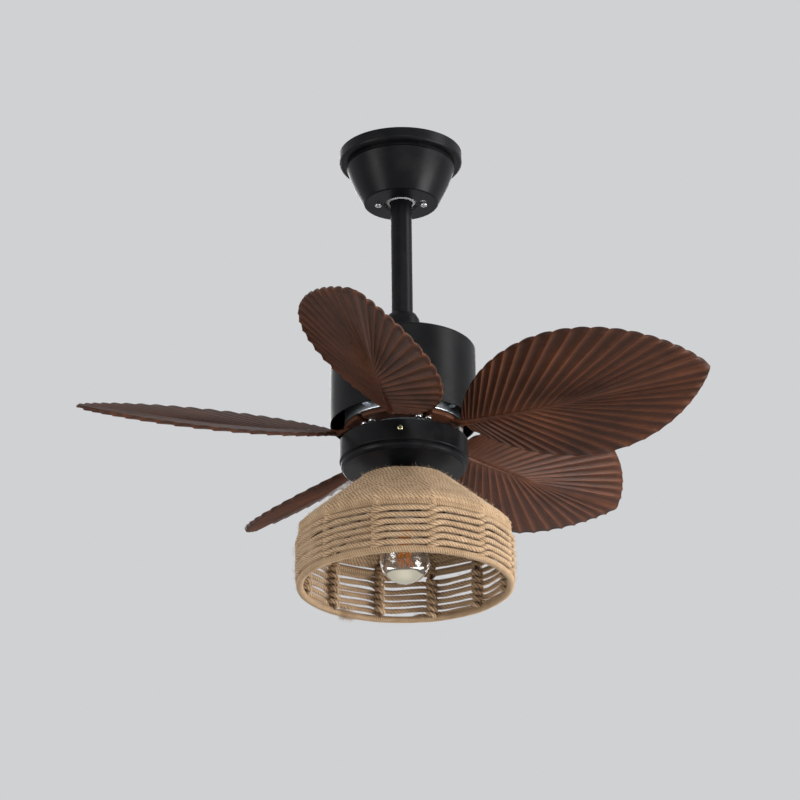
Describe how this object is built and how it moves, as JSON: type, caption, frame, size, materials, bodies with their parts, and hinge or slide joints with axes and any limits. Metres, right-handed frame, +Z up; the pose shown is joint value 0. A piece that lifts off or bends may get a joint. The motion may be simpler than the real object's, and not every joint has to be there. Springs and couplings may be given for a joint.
{
  "type": "ceiling fan with lamp",
  "caption": "Downrod ceiling fan with pitched palm-leaf blades on an outer-rotor motor, and a rope-wound shade round a screw-base bulb below it.",
  "frame": {"origin": "on the ceiling, at the fan's axis: the middle of the hanger bracket's top face", "axes": "+Z up into the ceiling along the fan's axis; +Y points away from the picture's camera, +X to its right"},
  "size_m": [0.724, 0.7177, 0.5568],
  "materials": {
    "black_paint": "satin black powder coat",
    "zinc_steel": "zinc plated",
    "chrome_screw": "bright plated",
    "terminal_plastic": "moulded",
    "ball_plastic": "moulded nylon",
    "steel": "ground",
    "cast_yoke": "as cast",
    "lamination": "stacked sheet",
    "copper_coil": "enamelled wire",
    "motor_alloy": "bright die casting",
    "bearing_steel": "ground",
    "leaf_brown": "satin moulded, walnut stained",
    "gasket_fibre": "fibre",
    "pan_screw_brass": "plated",
    "bakelite": "moulded",
    "brass": "plain",
    "lamp_cap": "rolled thread",
    "lamp_glass": "clear above, mirrored bowl below",
    "stem_glass": "clear",
    "filament": "amber",
    "wire": "coated wire",
    "jute": "twisted jute rope"
  },
  "bodies": {
    "ceiling_mount": {"hanger_bracket": "zinc_steel", "canopy": "black_paint", "canopy_screws": "chrome_screw", "terminal_block": "terminal_plastic"},
    "ball": {"hanger_ball": "ball_plastic", "hanger_pin": "steel"},
    "drop": {"downrod": "black_paint", "coupling_yoke": "cast_yoke", "clevis_pin": "steel", "clevis_clip": "steel", "yoke_grub_screws": "steel", "coupling_cover": "black_paint", "motor_housing": "black_paint", "housing_screws": "chrome_screw", "motor_shaft": "steel", "stator_core": "lamination", "stator_coils": "copper_coil", "light_plate": "zinc_steel", "run_capacitor": "bakelite", "capacitor_screw": "zinc_steel", "shaft_nut": "zinc_steel", "light_pan": "black_paint", "pan_screws": "pan_screw_brass", "lamp_nipple": "brass", "nipple_nut": "brass", "lamp_holder": "bakelite", "lamp_contacts": "brass", "shade_nut": "bakelite", "bulb_glass": "lamp_glass", "bulb_cap": "lamp_cap", "bulb_stem": "stem_glass", "bulb_filaments": "filament", "shade_frame": "wire", "shade_shoulder_binding": "jute", "shade_bottom_binding": "jute", "shade_cone_rope": "jute", "shade_skirt_rope": "jute"},
    "rotor": {"rotor_upper_cover": "motor_alloy", "rotor_lower_cover": "motor_alloy", "rotor_bolts": "steel", "rotor_ring": "lamination", "upper_bearing": "bearing_steel", "lower_bearing": "bearing_steel", "blade_gaskets": "gasket_fibre", "blade_screws": "chrome_screw", "blade_1": "leaf_brown", "blade_2": "leaf_brown", "blade_3": "leaf_brown", "blade_4": "leaf_brown", "blade_5": "leaf_brown"}
  },
  "joints": [
    {"name": "ball_tilt", "type": "hinge", "parent": "ceiling_mount", "child": "ball", "pos_m": [0, 0, -0.045], "axis": [1, 0, 0], "range_deg": [-4, 4]},
    {"name": "rod_sway", "type": "hinge", "parent": "ball", "child": "drop", "pos_m": [0, 0, -0.045], "axis": [0, 1, 0], "range_deg": [-4, 4]},
    {"name": "blade_spin", "type": "hinge", "parent": "drop", "child": "rotor", "pos_m": [0, 0, -0.36], "axis": [0, 0, 1], "continuous": true}
  ]
}
